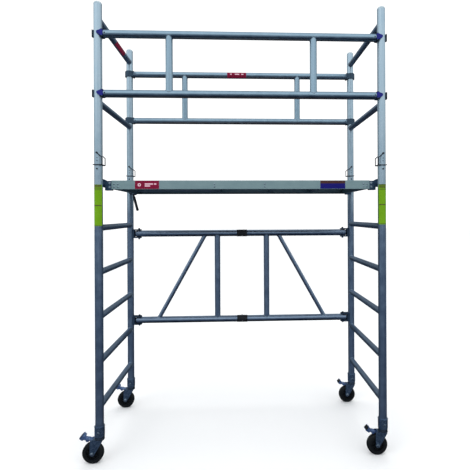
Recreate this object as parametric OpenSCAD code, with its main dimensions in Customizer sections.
// Folding rolling scaffold: two ladder end frames on braked castors, upper
// end frames on spigots, double guardrails with claws, a hooked platform with
// a hatch, and a brace frame that folds in the middle.
// Millimetres, +Z up. X runs along the platform and Y from front to back.
// The origin is on the ground, at the middle of the whole outline.

/* [Bay] */
// Distance between the two end frames, upright centre to upright centre
bay_length = 1800; // [1400:10:2200]
// Distance between the two uprights of one end frame, centre to centre
bay_depth = 700; // [640:10:1000]
// Height of the lowest rung's centre above the ground
first_rung_z = 348; // [320:1:420]
// Distance between two rungs
rung_pitch = 280; // [270:1:340]
// Height of the spigot joint above the top rung's centre
joint_above_rung = 113; // [90:1:180]
// Length of an upper post without its cap
upper_post_length = 1006; // [900:1:1300]

/* [Tubes] */
// Outside diameter of the uprights and of the brace tubes
upright_d = 50.8; // [44:0.1:61]
// Wall of every tube
tube_wall = 2; // [1.5:0.1:3]
// Outside diameter of the rungs and of the upper transoms
rung_d = 40; // [34:0.5:42]
// Outside diameter of the guardrail tubes
rail_d = 48; // [44:0.5:50]
// Outside diameter of the guardrail posts
rail_post_d = 45; // [34:0.5:46]
// Gap left at a coped and welded tube end
weld_gap = 0.1; // [0.05:0.01:0.3]

/* [Upper frames] */
// Height of the lower transom above the spigot joint
low_transom_up = 395; // [360:1:400]
// Height of the upper transom above the spigot joint
high_transom_up = 916; // [890:1:960]
// Height of the end cap on an upper post
cap_height = 16; // [15:0.5:24]
// Length of a spigot inside the lower upright
spigot_down = 150; // [80:1:200]
// Length of a spigot inside the upper post
spigot_up = 110; // [90:1:160]
// Height of the locking pin above the spigot joint
lock_pin_up = 74; // [60:1:85]
// Diameter of the locking pins
lock_pin_d = 8; // [6:0.5:10]
// Diameter of the wire of a locking pin's bow
bow_wire_d = 6; // [3:0.5:7]
// Distance of a bow's cross wire from the post's surface
bow_clear = 5.6; // [4:0.1:12]

/* [Guardrails] */
// Height of the lower guardrail above the spigot joint
low_rail_up = 448; // [444:1:470]
// Height of the upper guardrail above the spigot joint
high_rail_up = 822; // [800:1:840]
// Distance of a guardrail's post from the middle of the rail
rail_post_x = 458; // [200:1:600]
// Thickness of a claw's arm
claw_t = 7; // [5:0.5:9]
// Height of a claw's arm
claw_height = 44; // [30:1:46]
// Distance from the upright's surface to the end of the rail tube
rail_end_gap = 12.6; // [12:0.1:24]
// Diameter of a latch's pivot pin
latch_pin_d = 4; // [3:0.5:5]

/* [Platform] */
// Distance from the uprights' centre plane to the platform's outer face
platform_side_gap = 48; // [40:1:60]
// Depth of the side beams
beam_depth = 56; // [50:1:70]
// Thickness of the deck and of the hatch
deck_t = 12; // [9:0.5:15]
// Distance from the upright's surface to the end of the side beams
beam_clear = 38.6; // [36:0.1:60]
// Width of a hook across the rung's direction of run
hook_width = 36; // [24:1:40]
// Thickness of a hook over the rung
hook_t = 12; // [8:0.5:14]
// Length of the hatch opening
hatch_length = 638; // [500:1:700]
// Distance from the platform's outer face to the hatch opening
hatch_margin = 72; // [68:1:110]
// Gap round the hatch board
hatch_gap = 3; // [2:0.5:5]
// Length of the wind lock's handle below its pivot
wind_handle = 140; // [100:1:160]

/* [Brace] */
// Height of the lower brace tube above the second rung
brace_low_up = 72; // [62:1:90]
// Height of the upper brace tube below the fifth rung
brace_high_down = 70; // [62:1:90]
// Distance of a brace post from the middle
brace_post_x = 200; // [120:1:300]
// Diameter of the brace posts
brace_post_d = 45; // [30:0.5:46]
// Diameter of the diagonals
diagonal_d = 32; // [25:0.5:40]
// Distance of a diagonal's upper end from the middle
diagonal_top_x = 292; // [280:1:340]
// Distance of a diagonal's lower end from the middle
diagonal_low_x = 680; // [500:1:700]
// Distance of the brace's end pivots from the upright's surface
pivot_clear = 44.6; // [42:0.1:60]
// Distance of the middle hinges' axis behind the tube's surface
fold_clear = 10.6; // [10.2:0.1:20]
// Diameter of the brace's end pins
brace_pin_d = 10; // [8:0.5:12]
// Length of the brace's end pins
brace_pin_length = 89; // [80:1:100]

/* [Castors] */
// Diameter of the wheels
wheel_d = 130; // [110:1:156]
// Width of the tyres
tyre_width = 32; // [26:1:34]
// Distance of the axle behind the swivel axis
trail = 40; // [36:1:46]
// Distance of the pedal's tip behind the swivel axis
pedal_reach = 118; // [110:1:124]
// Wall of the collar on the upright's foot
collar_wall = 5; // [4:0.5:8]
// Height of the collar's underside above the top of the wheel
collar_up = 40; // [39:0.5:60]
// Height of the collar
collar_height = 60; // [50:1:80]

/* [Fits] */
// Radial running clearance of pins and shafts
running_fit = 0.06; // [0.02:0.01:0.1]
// Radial clearance of parts that slip over each other
slip_fit = 0.2; // [0.1:0.05:0.4]
// Clearance between faces of parts that move past each other
face_gap = 0.4; // [0.3:0.05:1]

/* [Hidden] */

$fn = 64;
far = 3000;
rung_count = 6;
half_l = bay_length / 2;
half_d = bay_depth / 2;
upright_r = upright_d / 2;
bow_out = upright_r + bow_clear;
claw_reach = upright_r + rail_end_gap;
platform_width = bay_depth - 2 * platform_side_gap;
beam_setback = upright_r + beam_clear;
hatch_width = platform_width - 2 * hatch_margin;
brace_pivot_out = upright_r + pivot_clear;
fold_offset = upright_r + fold_clear;
collar_d = upright_d + 2 * weld_gap + 2 * collar_wall;
collar_z = wheel_d + collar_up;
bore_r = upright_r - tube_wall;
rung_r = rung_d / 2;
rail_r = rail_d / 2;
top_rung_z = first_rung_z + (rung_count - 1) * rung_pitch;
joint_z = top_rung_z + joint_above_rung;
post_top_z = joint_z + upper_post_length;
brace_low_z = first_rung_z + rung_pitch + brace_low_up;
brace_high_z = first_rung_z + 4 * rung_pitch - brace_high_down;
low_rail_z = joint_z + low_rail_up;
high_rail_z = joint_z + high_rail_up;

// spigots, their rivets, pins and bows
spigot_r = bore_r - slip_fit;
spigot_wall = 3;
rivet_r = 3.2;
rivet_head_r = 5.5;
rivet_head_t = 2;
rivet_down = 25;
cap_round = 14;
cap_plug = 18;
lock_pin_r = lock_pin_d / 2;
lock_pin_z = joint_z + lock_pin_up;
bow_wire_r = bow_wire_d / 2;
bow_eye_r = lock_pin_r + 2.5;
bow_eye_half = bow_wire_r + 0.3;
bow_bend_r = bow_wire_r + 0.3;
bow_y = upright_r + 0.5 + bow_eye_half;
bow_bend_down = 28;
bow_wrap = upright_r - 3;
pin_head_r = lock_pin_r + 2;
pin_head_t = 2;
lock_pin_half = bow_y + bow_eye_half + face_gap + pin_head_t;

// claws and latches, seen from the front left corner: the rail leaves
// towards +X and the inside of the tower lies towards +Y
claw_r = upright_r + 0.3;
claw_outer_r = claw_r + claw_t;
claw_end_angle = 195;
claw_beak = 4;
neck_front = 0.55 * upright_r;
neck_back = rail_r - 1;
ear_t = 4;
ear_r = 6.5;
ear_z = claw_height / 2 - ear_t;
claw_plug = 30;
latch_x = claw_reach - 7.5;
latch_y = upright_r - 2.4;
latch_pin_r = latch_pin_d / 2;
latch_boss_r = 6;
latch_r = upright_r + 1;
latch_t = 6.6;
latch_half_z = ear_z - face_gap;
nose_half_z = 5;

// platform
plat_half_l = half_l - beam_setback;
plat_half_w = platform_width / 2;
beam_top = top_rung_z + rung_r + 1;
beam_low = beam_top - beam_depth;
web_t = 4;
flange_t = 3;
ledge_w = 24;
flange_w = 36;
deck_low = beam_top - deck_t;
end_beam_w = 30;
end_beam_half = plat_half_w - web_t - flange_w - 0.5;
member_w = 30;
member_h = 30;
member_wall = 2.5;
member_half = plat_half_w - web_t - ledge_w - 0.2;
deck_fit = 0.3;
rest_w = 12;
hatch_x0 = -plat_half_l + end_beam_w - rest_w;
hatch_x1 = hatch_x0 + hatch_length;
hatch_half_w = hatch_width / 2;
deck_mid = (hatch_x1 + plat_half_l) / 2;
member_x = [hatch_x1 - rest_w + member_w / 2, deck_mid - 100, deck_mid + 220];
hinge_pin_r = 3;
knuckle_r = 5;
hatch_hinge_z = beam_top + knuckle_r + 0.2;
hatch_hinge_y = hatch_half_w - 1.5;
leaf_z = beam_top + weld_gap - hatch_hinge_z;
hinge_leaf_t = 2;
hinge_leaf_w = 30;
hinge_length = 60;
knuckle_l = hinge_length / 3;
screw_r = 2.5;
screw_in = 8;
hinge_inset = 110;
hook_r = rung_r + 0.3;
hook_outer_r = hook_r + hook_t;
hook_y = plat_half_w - 2 - hook_width / 2;
hook_low = beam_low - 7;
hook_throat = 22;
hook_lip = 25;
hook_drop = 14;
wind_x = -half_l + 48;
wind_z = beam_low + 3;
wind_t = 10;
wind_pin_r = 4;
wind_boss_r = 9;
wind_neck = 6;
wind_neck_down = 20;
wind_finger = 34;
wind_end_r = 10;
wind_tilt = 14.6;
wind_face_y = hook_y - hook_width / 2;

// brace
bracket_half_y = 20;
bracket_half_z = 35;
bracket_gap = 1;
web_clear = 34;
tube_end_out = brace_pivot_out - 20;
left_pivot_x = -half_l + brace_pivot_out;
brace_pin_r = brace_pin_d / 2;
fold_y = half_d + fold_offset;
fold_pin_r = 4;
fold_knuckle_r = 7;
sleeve_t = 2.5;
sleeve_length = 41;
sleeve_r = upright_r + sleeve_t;
mid_gap = 0.3;
knuckle_half = 6.7;
knuckle_end = 20;
leaf_reach = 16;
brace_rise = brace_high_z - brace_low_z;
diagonal_run = diagonal_low_x - diagonal_top_x;
diagonal_angle = atan2(diagonal_run, brace_rise);
diagonal_length = sqrt(diagonal_run * diagonal_run + brace_rise * brace_rise);

// castors
wheel_r = wheel_d / 2;
axle_r = 5;
axle_head_r = 9;
axle_head_t = 5;
hub_r = 46;
hub_boss_r = 14;
hub_recess = 9;
tread_round = 7;
leg_t = 4;
leg_gap = 2.5;
leg_in = tyre_width / 2 + leg_gap;
leg_out = leg_in + leg_t;
leg_r = 15;
crown_z = wheel_d + 16;
crown_t = 4;
head_r = 30;
kingpin_r = 8;
kingpin_head_r = 12;
kingpin_head_t = 6.5;
pedal_pin_r = 3;
pedal_x = -26;
pedal_z = crown_z - 8;
pedal_barrel_r = 5.5;
pedal_half_w = leg_in - 1;
pad_half_w = leg_out;
foot_bolt_r = 4;
foot_bolt_up = 26;
nut_r = 7;
nut_t = 4.8;
collar_floor = 8;

// the whole outline and the origin at its middle
x_low = -half_l - pedal_reach;
x_high = half_l + claw_outer_r + claw_beak;
y_low = -half_d - lock_pin_half;
y_high = half_d + fold_offset + fold_knuckle_r;
module placed() {
    translate([-(x_low + x_high) / 2, -(y_low + y_high) / 2, 0]) children();
}

// one corner's own frame, mirrored so that +X and +Y point into the tower
module corner(sx, sy) {
    translate([sx * half_l, sy * half_d, 0])
        mirror([sx > 0 ? 1 : 0, 0, 0])
            mirror([0, sy > 0 ? 1 : 0, 0])
                children();
}
module corners() {
    for (sx = [-1, 1], sy = [-1, 1]) corner(sx, sy) children();
}
module along_x(r, length) {
    rotate([0, 90, 0]) cylinder(r = r, h = length, center = true);
}
module along_y(r, length) {
    rotate([90, 0, 0]) cylinder(r = r, h = length, center = true);
}
// an outline drawn in X and Z, with its thickness along Y
module in_xz(thickness) {
    rotate([90, 0, 0]) linear_extrude(thickness, center = true) children();
}

module tube_z(r, z0, z1) {
    difference() {
        translate([0, 0, z0]) cylinder(r = r, h = z1 - z0);
        translate([0, 0, z0 - 1]) cylinder(r = r - tube_wall, h = z1 - z0 + 2);
    }
}
// a tube along Y between two uprights, coped to their round faces
module coped_y(r, length, seat_r) {
    difference() {
        along_y(r, length);
        along_y(r - tube_wall, length + 2);
        for (s = [-1, 1])
            translate([0, s * length / 2, 0]) cylinder(r = seat_r + weld_gap, h = 4 * r, center = true);
    }
}
// a tube along Z between two tubes along X, coped to their round faces
module coped_z(r, z0, z1, seat_r) {
    difference() {
        translate([0, 0, z0]) cylinder(r = r, h = z1 - z0);
        translate([0, 0, z0 - 1]) cylinder(r = r - tube_wall, h = z1 - z0 + 2);
        for (z = [z0, z1]) translate([0, 0, z]) along_x(seat_r + weld_gap, 4 * r);
    }
}

// lower end frames
module lower_upright() {
    difference() {
        tube_z(upright_r, collar_z + collar_floor + deck_fit, joint_z);
        translate([0, 0, joint_z - rivet_down]) along_y(rivet_r + 0.1, 4 * upright_r);
        translate([0, 0, collar_z + foot_bolt_up]) along_y(foot_bolt_r + slip_fit, 4 * upright_r);
    }
}
module uprights(sx) {
    color("#8FA6B4") placed() {
        for (sy = [-1, 1]) corner(sx, sy) lower_upright();
    }
}
module left_uprights() { uprights(-1); }
module right_uprights() { uprights(1); }
module rungs(sx) {
    color("#7E95A5") placed() {
        for (i = [0 : rung_count - 1])
            translate([sx * half_l, 0, first_rung_z + i * rung_pitch])
                coped_y(rung_r, bay_depth, upright_r);
    }
}
module left_rungs() { rungs(-1); }
module right_rungs() { rungs(1); }

// upper end frames
module upper_posts() {
    color("#A9C0CB") placed() corners()
        difference() {
            tube_z(upright_r, joint_z + deck_fit, post_top_z);
            translate([0, 0, lock_pin_z]) along_y(lock_pin_r + slip_fit, 4 * upright_r);
        }
}
module upper_transoms() {
    color("#7E95A5") placed()
        for (sx = [-1, 1], up = [low_transom_up, high_transom_up])
            translate([sx * half_l, 0, joint_z + up]) coped_y(rung_r, bay_depth, upright_r);
}
module spigots() {
    color("#9AABB5") placed() corners()
        difference() {
            translate([0, 0, joint_z - spigot_down]) cylinder(r = spigot_r, h = spigot_down + spigot_up);
            translate([0, 0, joint_z - spigot_down - 1])
                cylinder(r = spigot_r - spigot_wall, h = spigot_down + spigot_up + 2);
            translate([0, 0, joint_z - rivet_down]) along_y(rivet_r + 0.1, 4 * upright_r);
            translate([0, 0, lock_pin_z]) along_y(lock_pin_r + slip_fit, 4 * upright_r);
        }
}
module spigot_rivets() {
    color("#5C6670") placed() corners()
        translate([0, 0, joint_z - rivet_down]) {
            along_y(rivet_r, 2 * upright_r + 2);
            for (s = [-1, 1])
                translate([0, s * (upright_r + 0.1 + rivet_head_t / 2), 0])
                    along_y(rivet_head_r, rivet_head_t);
        }
}
module post_caps() {
    color("#B4C3CA") placed() corners() translate([0, 0, post_top_z + 0.1]) {
        rotate_extrude() {
            square([upright_r - cap_round, cap_height]);
            square([upright_r, cap_height - cap_round]);
            intersection() {
                translate([upright_r - cap_round, cap_height - cap_round]) circle(cap_round);
                square([upright_r, cap_height]);
            }
        }
        translate([0, 0, -cap_plug]) cylinder(r = bore_r - slip_fit, h = cap_plug + 1);
    }
}
module locking_pins() {
    color("#4A525C") placed() corners()
        translate([0, 0, lock_pin_z]) {
            along_y(lock_pin_r, 2 * lock_pin_half);
            for (s = [-1, 1])
                translate([0, s * (lock_pin_half - pin_head_t / 2), 0])
                    along_y(pin_head_r, pin_head_t);
        }
}
// the wire bow that hangs from a locking pin and springs round the post
module bow() {
    for (s = [-1, 1]) translate([0, s * bow_y, 0]) {
        difference() {
            union() {
                along_y(bow_eye_r, 2 * bow_eye_half);
                bow_arm(bow_out, -bow_bend_down);
            }
            along_y(lock_pin_r + running_fit, 4 * bow_wire_d);
        }
        translate([bow_out, 0, -lock_pin_up]) cylinder(r = bow_wire_r, h = lock_pin_up - bow_bend_down);
        translate([bow_out, 0, -bow_bend_down]) sphere(bow_bend_r);
        for (x = [-bow_wrap, bow_out]) translate([x, 0, -lock_pin_up]) sphere(bow_bend_r);
        translate([(bow_out - bow_wrap) / 2, 0, -lock_pin_up])
            along_x(bow_wire_r, bow_out + bow_wrap);
    }
    translate([bow_out, 0, -lock_pin_up]) along_y(bow_wire_r, 2 * bow_y);
}
// the slanted stretch of a bow, from the pin to the point (x, z)
module bow_arm(x, z) {
    rotate([0, atan2(x, z), 0]) cylinder(r = bow_wire_r, h = sqrt(x * x + z * z));
}
module pin_bow(sx, sy) {
    color("#353D48") placed() corner(sx, sy) translate([0, 0, lock_pin_z]) bow();
}
module pin_bow_fl() { pin_bow(-1, -1); }
module pin_bow_fr() { pin_bow(1, -1); }
module pin_bow_rl() { pin_bow(-1, 1); }
module pin_bow_rr() { pin_bow(1, 1); }

// guardrails
module rail_tube() {
    length = bay_length - 2 * claw_reach;
    difference() {
        along_x(rail_r, length);
        along_x(rail_r - tube_wall, length + 2);
    }
}
module guardrail(sy) {
    color("#A3B8C4") placed() translate([0, sy * half_d, 0]) {
        for (z = [low_rail_z, high_rail_z]) translate([0, 0, z]) rail_tube();
        for (sx = [-1, 1])
            translate([sx * rail_post_x, 0, 0])
                coped_z(rail_post_d / 2, low_rail_z, high_rail_z, rail_r);
    }
}
module front_guardrail() { guardrail(-1); }
module rear_guardrail() { guardrail(1); }
// a claw that clips on an upright from inside the tower
module claw() {
    difference() {
        union() {
            translate([0, 0, -claw_height / 2])
                rotate_extrude(angle = claw_end_angle)
                    translate([claw_r, 0]) square([claw_t, claw_height]);
            translate([0, -neck_front, -ear_z - ear_t])
                cube([claw_reach - 0.1, neck_front + neck_back, 2 * (ear_z + ear_t)]);
            translate([claw_reach - 1 + claw_plug / 2, 0, 0])
                along_x(rail_r - tube_wall - slip_fit, claw_plug);
            for (s = [-1, 1]) translate([0, 0, s * (ear_z + ear_t / 2)]) latch_ear();
            translate([-claw_outer_r, 0, 0]) claw_tip();
        }
        cylinder(r = claw_r, h = 4 * claw_height, center = true);
        translate([latch_x, -latch_y, 0])
            cylinder(r = latch_pin_r + running_fit, h = 4 * claw_height, center = true);
    }
}
module latch_ear() {
    linear_extrude(ear_t, center = true) {
        translate([latch_x, -latch_y]) circle(ear_r);
        translate([latch_x - ear_r, -latch_y]) square([2 * ear_r, latch_y - neck_front + 1]);
    }
}
// the beak at a claw's outer end
module claw_tip() {
    linear_extrude(claw_height, center = true)
        polygon([[0, 10], [-claw_beak, 2], [-claw_beak, -3], [2, -7], [2, 10]]);
}
module claws(sy) {
    color("#3A4350") placed()
        for (sx = [-1, 1], z = [low_rail_z, high_rail_z])
            corner(sx, sy) translate([0, 0, z]) claw();
}
module front_claws() { claws(-1); }
module rear_claws() { claws(1); }
module latch_pins() {
    color("#8A939B") placed() corners()
        for (z = [low_rail_z, high_rail_z])
            translate([latch_x, -latch_y, z])
                cylinder(r = latch_pin_r, h = 2 * (ear_z + ear_t) + 2, center = true);
}
// the sprung latch that closes a claw's mouth
module latch_shape() {
    difference() {
        intersection() {
            linear_extrude(2 * latch_half_z, center = true) {
                translate([latch_x, -latch_y]) circle(latch_boss_r);
                difference() {
                    circle(latch_r + latch_t);
                    circle(latch_r);
                    translate([-far, -far]) square([far, 2 * far]);
                    rotate(-38) square([far, far]);
                    square([far, far]);
                }
                polygon([[latch_r * cos(38), -latch_r * sin(38)],
                    [latch_x - 2, -latch_y + latch_boss_r - 0.5],
                    [latch_x - 2, -latch_y - latch_boss_r + 0.5],
                    [(latch_r + latch_t) * cos(62), -(latch_r + latch_t) * sin(62)],
                    [latch_r * cos(55), -latch_r * sin(55)]]);
            }
            in_xz(4 * upright_d)
                polygon([[-1, -nose_half_z], [-1, nose_half_z], [latch_x - 8, latch_half_z],
                    [far, latch_half_z], [far, -latch_half_z], [latch_x - 8, -latch_half_z]]);
        }
        translate([latch_x, -latch_y, 0])
            cylinder(r = latch_pin_r + running_fit, h = 4 * claw_height, center = true);
    }
}
module latch(sx, sy, z) {
    color("#0E1E74") placed() corner(sx, sy) translate([0, 0, z]) latch_shape();
}
module latch_fl_low() { latch(-1, -1, low_rail_z); }
module latch_fl_high() { latch(-1, -1, high_rail_z); }
module latch_fr_low() { latch(1, -1, low_rail_z); }
module latch_fr_high() { latch(1, -1, high_rail_z); }
module latch_rl_low() { latch(-1, 1, low_rail_z); }
module latch_rl_high() { latch(-1, 1, high_rail_z); }
module latch_rr_low() { latch(1, 1, low_rail_z); }
module latch_rr_high() { latch(1, 1, high_rail_z); }

// platform
module box_member(size, wall) {
    difference() {
        cube(size, center = true);
        if (size[0] > size[1]) cube([size[0] + 2, size[1] - 2 * wall, size[2] - 2 * wall], center = true);
        else cube([size[0] - 2 * wall, size[1] + 2, size[2] - 2 * wall], center = true);
    }
}
module side_beams() {
    color("#7C98A0") placed()
        for (sy = [-1, 1]) mirror([0, sy > 0 ? 0 : 1, 0])
            translate([-plat_half_l, 0, 0]) {
                translate([0, plat_half_w - web_t, beam_low]) cube([2 * plat_half_l, web_t, beam_depth]);
                translate([0, plat_half_w - web_t - flange_w, beam_low])
                    cube([2 * plat_half_l, flange_w + 1, flange_t]);
                translate([0, plat_half_w - web_t - ledge_w, deck_low - flange_t])
                    cube([2 * plat_half_l, ledge_w + 1, flange_t]);
            }
}
module end_beams() {
    color("#7C98A0") placed()
        for (sx = [-1, 1])
            translate([sx * (plat_half_l - end_beam_w / 2), 0, (beam_low + deck_low) / 2])
                box_member([end_beam_w, 2 * end_beam_half, deck_low - beam_low], member_wall);
}
module cross_members() {
    stringer_x0 = -plat_half_l + end_beam_w;
    stringer_length = hatch_x1 - rest_w - stringer_x0;
    color("#6D8790") placed() translate([0, 0, deck_low - member_h / 2]) {
        for (x = member_x) translate([x, 0, 0])
            box_member([member_w, 2 * member_half, member_h], member_wall);
        for (s = [-1, 1])
            translate([stringer_x0 + stringer_length / 2, s * (hatch_half_w - rest_w + member_w / 2), 0])
                box_member([stringer_length - 0.2, member_w, member_h], member_wall);
    }
}
module deck_board() {
    half = plat_half_w - web_t - deck_fit;
    color("#6B4A32") placed()
        difference() {
            translate([-plat_half_l, -half, deck_low]) cube([2 * plat_half_l, 2 * half, deck_t]);
            translate([hatch_x0, -hatch_half_w, deck_low - 1])
                cube([hatch_length, hatch_width, deck_t + 2]);
        }
}
hinge_x = [hatch_x0 + hinge_inset, hatch_x1 - hinge_inset];
// one leaf of a hatch hinge, lying towards +Y, with its knuckles on the axis
module hinge_leaf(knuckles) {
    difference() {
        union() {
            translate([-hinge_length / 2, knuckle_r + face_gap, leaf_z])
                cube([hinge_length, hinge_leaf_w - knuckle_r, hinge_leaf_t]);
            for (k = knuckles) translate([k[0], 0, 0]) {
                along_x(knuckle_r, k[1]);
                translate([-k[1] / 2, 0, leaf_z]) cube([k[1], knuckle_r + 1, hinge_leaf_t]);
            }
        }
        along_x(hinge_pin_r + running_fit, 2 * hinge_length);
        for (k = [-1, 1]) translate([k * (hinge_length / 2 - screw_in), hinge_leaf_w - screw_in - 2, 0])
            cylinder(r = screw_r, h = hinge_length, center = true);
    }
}
module hatch() {
    board_l = hatch_length - 2 * hatch_gap;
    board_w = hatch_width - 2 * hatch_gap;
    color("#735038") placed() {
        translate([hatch_x0 + hatch_gap, -board_w / 2, deck_low + face_gap])
            cube([board_l, board_w, deck_t - face_gap]);
        for (x = hinge_x)
            translate([x, hatch_hinge_y, hatch_hinge_z])
                mirror([0, 1, 0]) hinge_leaf([[0, knuckle_l - 1]]);
    }
}
module hatch_hinges() {
    color("#9AA5AB") placed()
        for (x = hinge_x)
            translate([x, hatch_hinge_y, hatch_hinge_z])
                hinge_leaf([[-knuckle_l, knuckle_l], [knuckle_l, knuckle_l]]);
}
module hook() {
    difference() {
        union() {
            rotate([90, 0, 0]) translate([0, 0, -hook_width / 2])
                rotate_extrude(angle = 180 + hook_lip) translate([hook_r, 0]) square([hook_t, hook_width]);
            translate([0, -hook_width / 2, hook_low - top_rung_z])
                cube([beam_setback, hook_width, beam_top - hook_low - 2]);
        }
        along_y(hook_r, 2 * hook_width);
        translate([-far, -hook_width, -far - hook_r * sin(hook_lip)]) cube([far + 4, 2 * hook_width, far]);
        translate([0, -hook_width, -hook_outer_r - far])
            cube([hook_throat, 2 * hook_width, far + hook_drop]);
    }
}
module platform_hooks() {
    color("#5B6F80") placed()
        for (sx = [-1, 1], sy = [-1, 1])
            translate([sx * half_l, sy * hook_y, top_rung_z]) mirror([sx > 0 ? 1 : 0, 0, 0])
                difference() {
                    hook();
                    if (sx < 0 && sy > 0)
                        translate([wind_x + half_l, 0, wind_z - top_rung_z])
                            along_y(wind_pin_r + slip_fit, 2 * hook_width);
                }
}
module wind_lock() {
    color("#20222C") placed()
        translate([wind_x, wind_face_y - face_gap - wind_t / 2, wind_z])
            difference() {
                in_xz(wind_t) {
                    circle(wind_boss_r);
                    polygon([[-wind_finger, 2], [-wind_finger, 10], [12 - wind_finger, 10],
                        [0, wind_boss_r], [0, -wind_boss_r], [12 - wind_finger, -2]]);
                    rotate(wind_tilt) {
                        polygon([[-wind_neck, 0], [-wind_neck, -wind_neck_down],
                            [-wind_boss_r, -wind_neck_down - 6], [-wind_boss_r, wind_end_r - wind_handle],
                            [wind_boss_r, wind_end_r - wind_handle], [wind_boss_r, -wind_neck_down - 6],
                            [wind_neck, -wind_neck_down], [wind_neck, 0]]);
                        translate([0, wind_end_r - wind_handle]) circle(wind_end_r);
                    }
                }
                along_y(wind_pin_r + running_fit, 4 * wind_t);
            }
}
module platform_pins() {
    pin_y0 = wind_face_y - 2 * face_gap - wind_t - 2;
    color("#8A939B") placed() {
        for (x = hinge_x)
            translate([x, hatch_hinge_y, hatch_hinge_z]) along_x(hinge_pin_r, hinge_length + 2);
        translate([wind_x, pin_y0 + 25, wind_z]) along_y(wind_pin_r, 50);
        translate([wind_x, pin_y0 + 1, wind_z]) along_y(wind_pin_r + 2.5, 2);
    }
}

// folding brace; the left half in its own place, mirrored for the right one
module brace_half() {
    tube_l = half_l - tube_end_out - mid_gap;
    translate([0, half_d, 0]) {
        for (z = [brace_low_z, brace_high_z])
            difference() {
                translate([-half_l + tube_end_out + tube_l / 2, 0, z]) along_x(upright_r, tube_l);
                translate([-half_l + tube_end_out + tube_l / 2, 0, z])
                    along_x(upright_r - tube_wall, tube_l + 2);
                translate([left_pivot_x, 0, z])
                    cylinder(r = brace_pin_r + running_fit, h = 2 * upright_d, center = true);
            }
        translate([-brace_post_x, 0, 0])
            coped_z(brace_post_d / 2, brace_low_z, brace_high_z, upright_r);
        difference() {
            translate([-diagonal_low_x, 0, brace_low_z]) rotate([0, diagonal_angle, 0])
                difference() {
                    cylinder(r = diagonal_d / 2, h = diagonal_length);
                    translate([0, 0, -1])
                        cylinder(r = diagonal_d / 2 - tube_wall, h = diagonal_length + 2);
                }
            for (z = [brace_low_z, brace_high_z])
                translate([-half_l / 2, 0, z]) along_x(upright_r + weld_gap, bay_length);
        }
    }
}
module left_brace() { color("#8299A9") placed() brace_half(); }
module right_brace() { color("#8299A9") placed() mirror([1, 0, 0]) brace_half(); }
module bracket() {
    plate_t = bracket_half_z - upright_r - bracket_gap;
    difference() {
        union() {
            translate([0, -bracket_half_y, -bracket_half_z])
                cube([brace_pivot_out - web_clear, 2 * bracket_half_y, 2 * bracket_half_z]);
            for (s = [-1, 1]) translate([0, 0, s * (bracket_half_z - plate_t / 2)]) {
                translate([brace_pivot_out / 2, 0, 0])
                    cube([brace_pivot_out, 2 * bracket_half_y, plate_t], center = true);
                translate([brace_pivot_out, 0, 0]) cylinder(r = bracket_half_y, h = plate_t, center = true);
            }
        }
        cylinder(r = upright_r + weld_gap, h = 4 * bracket_half_z, center = true);
        translate([brace_pivot_out, 0, 0])
            cylinder(r = brace_pin_r + running_fit, h = 4 * bracket_half_z, center = true);
        rotate([0, 0, 90]) translate([0, half_d, 0]) cube([bay_depth, bay_depth, bay_depth], center = true);
    }
}
module brace_brackets() {
    color("#5F7284") placed()
        for (sx = [-1, 1], z = [brace_low_z, brace_high_z])
            corner(sx, 1) translate([0, 0, z]) bracket();
}
// whole pins on the left; on the right the pins stop short of the tube
module brace_pins() {
    stud = brace_pin_length / 2 - upright_r - 0.5;
    color("#2B3038") placed()
        for (z = [brace_low_z, brace_high_z]) {
            translate([left_pivot_x, half_d, z])
                cylinder(r = brace_pin_r, h = brace_pin_length, center = true);
            for (s = [-1, 1])
                translate([-left_pivot_x, half_d, z + s * (brace_pin_length - stud) / 2])
                    cylinder(r = brace_pin_r, h = stud, center = true);
        }
}
// one leaf of a middle hinge, on the -X side of its axis
module fold_leaf(bands) {
    difference() {
        union() {
            translate([-mid_gap - sleeve_length / 2, 0, 0]) along_x(sleeve_r, sleeve_length);
            for (b = bands) translate([0, 0, b[0]]) {
                translate([0, fold_offset, 0]) cylinder(r = fold_knuckle_r, h = b[1] - b[0]);
                translate([-leaf_reach, upright_r, 0])
                    cube([leaf_reach - mid_gap, fold_offset - upright_r, b[1] - b[0]]);
            }
        }
        along_x(upright_r + 0.1, 4 * sleeve_length);
        translate([0, fold_offset, 0])
            cylinder(r = fold_pin_r + running_fit, h = 4 * knuckle_end, center = true);
    }
}
module left_hinge_leaves() {
    color("#1E2228") placed()
        for (z = [brace_low_z, brace_high_z])
            translate([0, half_d, z])
                fold_leaf([[-knuckle_end, -knuckle_half - mid_gap], [knuckle_half + mid_gap, knuckle_end]]);
}
module right_hinge_leaves() {
    color("#1E2228") placed()
        for (z = [brace_low_z, brace_high_z])
            translate([0, half_d, z]) mirror([1, 0, 0]) fold_leaf([[-knuckle_half, knuckle_half]]);
}
module fold_pins() {
    color("#8A939B") placed()
        for (z = [brace_low_z, brace_high_z])
            translate([0, fold_y, z])
                cylinder(r = fold_pin_r, h = 2 * knuckle_end + 4, center = true);
}

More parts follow.
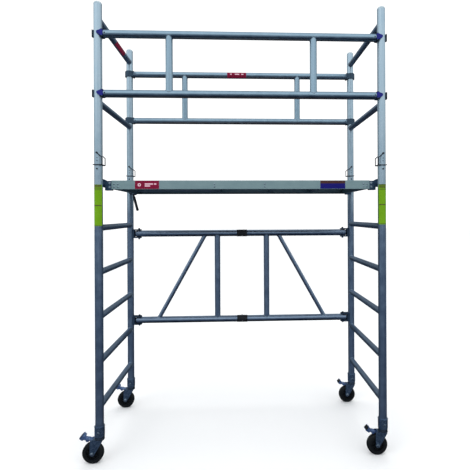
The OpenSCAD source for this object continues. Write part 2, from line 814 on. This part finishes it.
// castors, each with its wheel trailing towards -X
module at_castor(sx, sy) { translate([sx * half_l, sy * half_d, 0]) children(); }
module castor_stems() {
    color("#3F4B5C") placed()
        for (sx = [-1, 1], sy = [-1, 1]) at_castor(sx, sy) {
            difference() {
                translate([0, 0, collar_z]) cylinder(d = collar_d, h = collar_height);
                translate([0, 0, collar_z + collar_floor])
                    cylinder(r = upright_r + 0.1, h = collar_height);
                translate([0, 0, collar_z + foot_bolt_up]) along_y(foot_bolt_r + slip_fit, 2 * collar_d);
            }
            translate([0, 0, crown_z - 1]) cylinder(r = kingpin_r, h = collar_z - crown_z + 2);
            translate([0, 0, crown_z - 1 - kingpin_head_t]) cylinder(r = kingpin_head_r, h = kingpin_head_t);
            translate([0, 0, collar_z + foot_bolt_up]) {
                along_y(foot_bolt_r, collar_d + 8);
                for (s = [-1, 1]) translate([0, s * (collar_d / 2 + 0.2 + nut_t / 2), 0])
                    rotate([90, 0, 0]) cylinder(r = nut_r, h = nut_t, center = true, $fn = 6);
            }
        }
}
module fork_shape() {
    drum_low = crown_z + crown_t;
    difference() {
        union() {
            translate([0, 0, crown_z]) cylinder(r = head_r, h = crown_t);
            translate([-trail, -leg_out, crown_z]) cube([trail, 2 * leg_out, crown_t]);
            translate([0, 0, drum_low - 0.5])
                cylinder(r = head_r - 3, h = collar_z - face_gap - drum_low + 0.5);
            for (s = [-1, 1]) translate([0, s * (leg_in + leg_t / 2), 0])
                in_xz(leg_t) {
                    polygon([[-trail - 12, crown_z + crown_t], [20, crown_z + crown_t],
                        [20, crown_z - 8], [-trail + 13, wheel_r - 6], [-trail - 14, wheel_r - 4],
                        [-trail - 14, crown_z - 20]]);
                    translate([-trail, wheel_r]) circle(leg_r);
                }
        }
        translate([0, 0, crown_z - 1]) cylinder(r = kingpin_r + running_fit, h = collar_z);
        translate([-trail, 0, wheel_r]) along_y(axle_r + 0.1, 4 * leg_out);
        translate([pedal_x, 0, pedal_z]) along_y(pedal_pin_r + 0.1, 4 * leg_out);
    }
    translate([-trail, 0, wheel_r]) {
        along_y(axle_r, 2 * leg_out + 4);
        for (s = [-1, 1]) translate([0, s * (leg_out + 0.2 + axle_head_t / 2), 0])
            rotate([90, 0, 0]) cylinder(r = axle_head_r, h = axle_head_t, center = true, $fn = 6);
    }
    translate([pedal_x, 0, pedal_z]) {
        along_y(pedal_pin_r, 2 * leg_out + 2);
        for (s = [-1, 1]) translate([0, s * (leg_out + 1.2), 0]) along_y(pedal_pin_r + 2, 2);
    }
}
module fork(sx, sy) { color("#46566C") placed() at_castor(sx, sy) fork_shape(); }
module fork_fl() { fork(-1, -1); }
module fork_fr() { fork(1, -1); }
module fork_rl() { fork(-1, 1); }
module fork_rr() { fork(1, 1); }
module tyre_shape() {
    half = tyre_width / 2;
    translate([-trail, 0, wheel_r]) rotate([90, 0, 0])
        rotate_extrude() {
            translate([hub_r + 0.05, -half]) square([wheel_r - tread_round - hub_r - 0.05, tyre_width]);
            translate([hub_r + 0.05, -half + tread_round])
                square([wheel_r - hub_r - 0.05, tyre_width - 2 * tread_round]);
            for (s = [-1, 1]) translate([wheel_r - tread_round, s * (half - tread_round)])
                circle(tread_round);
        }
}
module tyre(sx, sy) { color("#121316") placed() at_castor(sx, sy) tyre_shape(); }
module tyre_fl() { tyre(-1, -1); }
module tyre_fr() { tyre(1, -1); }
module tyre_rl() { tyre(-1, 1); }
module tyre_rr() { tyre(1, 1); }
module hub_shape() {
    half = tyre_width / 2;
    translate([-trail, 0, wheel_r]) rotate([90, 0, 0])
        difference() {
            union() {
                cylinder(r = hub_r, h = tyre_width - 2, center = true);
                cylinder(r = hub_boss_r, h = 2 * leg_in - 2 * face_gap, center = true);
            }
            cylinder(r = axle_r + running_fit, h = 4 * leg_in, center = true);
            for (s = [-1, 1]) translate([0, 0, s * (half - hub_recess / 2 + 1)]) difference() {
                cylinder(r = hub_r - 8, h = hub_recess + 4, center = true);
                cylinder(r = hub_boss_r, h = hub_recess + 6, center = true);
            }
        }
}
module hub(sx, sy) { color("#23262B") placed() at_castor(sx, sy) hub_shape(); }
module hub_fl() { hub(-1, -1); }
module hub_fr() { hub(1, -1); }
module hub_rl() { hub(-1, 1); }
module hub_rr() { hub(1, 1); }
// the brake pedal: a lever over the wheel, its shoe and a raised foot pad
module pedal_shape() {
    px = pedal_x;
    pz = pedal_z;
    difference() {
        union() {
            translate([px, 0, pz]) along_y(pedal_barrel_r, 2 * pedal_half_w);
            in_xz(2 * pedal_half_w)
                polygon([[px, pz - 2.5], [px - 20, pz - 0.5], [px - 30, pz + 8], [px - 37, pz + 8],
                    [px - 37, pz], [px - 52, pz + 1], [px - 54, pz + 10], [px - 72, pz + 16],
                    [px - 72, pz + 22], [px - 32, pz + 15], [px - 20, pz + 5.5], [px, pz + 5.5]]);
            in_xz(2 * pad_half_w)
                polygon([[-pedal_reach + 16, pz + 12], [-pedal_reach, pz + 24],
                    [-pedal_reach + 20, pz + 44], [-pedal_reach + 32, pz + 31],
                    [-pedal_reach + 26, pz + 14]]);
        }
        translate([px, 0, pz]) along_y(pedal_pin_r + running_fit, 4 * leg_out);
    }
}
module pedal(sx, sy) { color("#4E6C9C") placed() at_castor(sx, sy) pedal_shape(); }
module pedal_fl() { pedal(-1, -1); }
module pedal_fr() { pedal(1, -1); }
module pedal_rl() { pedal(-1, 1); }
module pedal_rr() { pedal(1, 1); }

left_uprights();
right_uprights();
left_rungs();
right_rungs();
upper_posts();
upper_transoms();
spigots();
spigot_rivets();
post_caps();
locking_pins();
pin_bow_fl();
pin_bow_fr();
pin_bow_rl();
pin_bow_rr();
front_guardrail();
rear_guardrail();
front_claws();
rear_claws();
latch_pins();
latch_fl_low();
latch_fl_high();
latch_fr_low();
latch_fr_high();
latch_rl_low();
latch_rl_high();
latch_rr_low();
latch_rr_high();
side_beams();
end_beams();
cross_members();
deck_board();
hatch();
hatch_hinges();
platform_hooks();
wind_lock();
platform_pins();
left_brace();
right_brace();
brace_brackets();
brace_pins();
left_hinge_leaves();
right_hinge_leaves();
fold_pins();
castor_stems();
fork_fl();
fork_fr();
fork_rl();
fork_rr();
tyre_fl();
tyre_fr();
tyre_rl();
tyre_rr();
hub_fl();
hub_fr();
hub_rl();
hub_rr();
pedal_fl();
pedal_fr();
pedal_rl();
pedal_rr();
